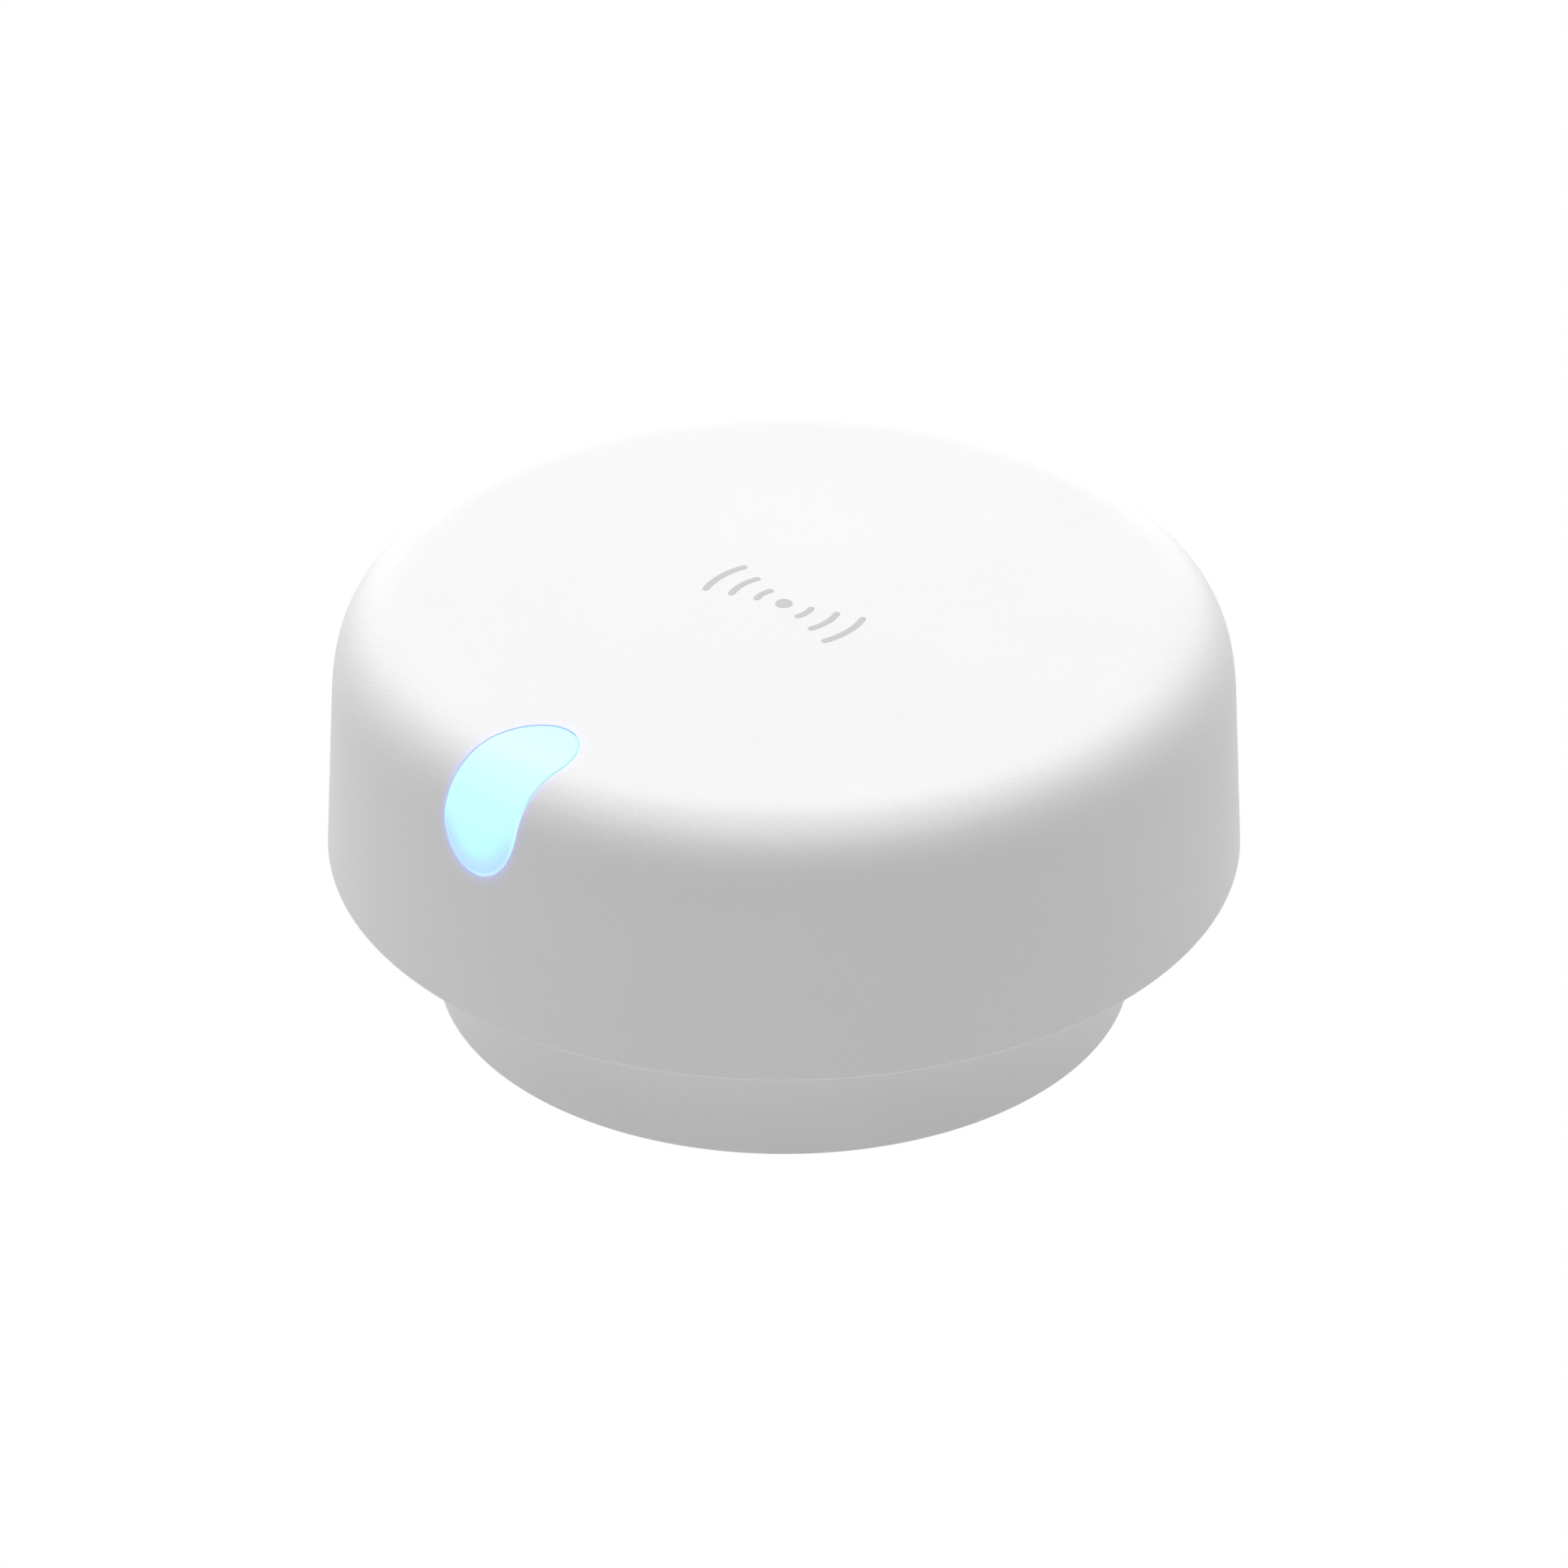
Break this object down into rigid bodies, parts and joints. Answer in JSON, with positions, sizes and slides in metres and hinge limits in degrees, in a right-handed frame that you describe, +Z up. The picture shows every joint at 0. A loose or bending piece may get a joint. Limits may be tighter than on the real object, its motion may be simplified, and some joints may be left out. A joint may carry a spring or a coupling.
{
  "type": "presence sensor",
  "caption": "Round room presence sensor with a lit crescent button on its rim, on a disc stand that folds and swivels.",
  "frame": {"origin": "centre of the foot pad's underside, with the stand folded flat against the head", "axes": "+Z up out of the sensing face, +Y towards the crescent button, -Y towards the tilt hinge, +X towards the USB inlet"},
  "size_m": [0.064, 0.064, 0.0295],
  "materials": {
    "shell_white": "fine spark-eroded matt white, polycarbonate and ABS blend",
    "inner_white": "plain matt white",
    "light_guide": "milky light-guide acrylic, satin outside, lit pale cyan from behind",
    "pad_rubber": "matt grey foam-backed rubber",
    "ballast_steel": "as pressed, oiled",
    "screw_steel": "zinc plated",
    "board_green": "glass-epoxy board with green solder mask",
    "part_black": "moulded black epoxy or nylon",
    "nylon": "natural nylon",
    "led_lens": "clear epoxy over phosphor",
    "flex_amber": "polyimide film",
    "thermal_gel": "soft filled silicone",
    "spreader_aluminium": "pressed sheet"
  },
  "bodies": {
    "stand": {"stand_shell": "shell_white", "stand_ballast": "ballast_steel", "stand_bottom_plate": "inner_white", "foot_pad": "pad_rubber", "stand_screw_1": "screw_steel", "stand_screw_2": "screw_steel", "stand_screw_3": "screw_steel"},
    "turntable": {"turntable": "inner_white", "hinge_pin": "screw_steel", "hinge_washer_left": "screw_steel", "hinge_washer_right": "screw_steel", "wave_washer": "screw_steel", "retaining_disc": "screw_steel", "retainer_screw_1": "screw_steel", "retainer_screw_2": "screw_steel", "retainer_screw_3": "screw_steel"},
    "head": {"front_shell": "shell_white", "back_cover": "shell_white", "button_board": "board_green", "tactile_switch": "part_black", "light_sensor": "part_black", "button_led_lower": "led_lens", "button_led_upper": "led_lens", "button_flex_cable": "flex_amber", "main_board": "board_green", "usb_c_inlet": "screw_steel", "radio_module": "screw_steel", "power_inductor": "part_black", "link_connector": "part_black", "radar_board": "board_green", "radar_chip": "part_black", "thermal_pad": "thermal_gel", "heat_spreader": "spreader_aluminium", "radar_standoff_1": "nylon", "radar_standoff_2": "nylon", "radar_standoff_3": "nylon", "radar_standoff_4": "nylon", "head_screw_1": "screw_steel", "head_screw_2": "screw_steel", "head_screw_3": "screw_steel", "board_screw_1": "screw_steel", "board_screw_2": "screw_steel", "board_screw_3": "screw_steel"},
    "button": {"crescent_button": "light_guide", "switch_plunger": "nylon"}
  },
  "joints": [
    {"name": "head_tilt", "type": "hinge", "parent": "stand", "child": "turntable", "pos_m": [0, -0.0241, 0.0084], "axis": [1, 0, 0], "range_deg": [0, 90]},
    {"name": "head_swivel", "type": "hinge", "parent": "turntable", "child": "head", "pos_m": [0, 0, 0.0138], "axis": [0, 0, 1], "continuous": true},
    {"name": "button_press", "type": "slide", "parent": "head", "child": "button", "axis": [0, -0.7071, -0.7071], "range_m": [0, 0.0004], "stiffness_N_per_m": 3000, "springref_m": -0.0002}
  ]
}
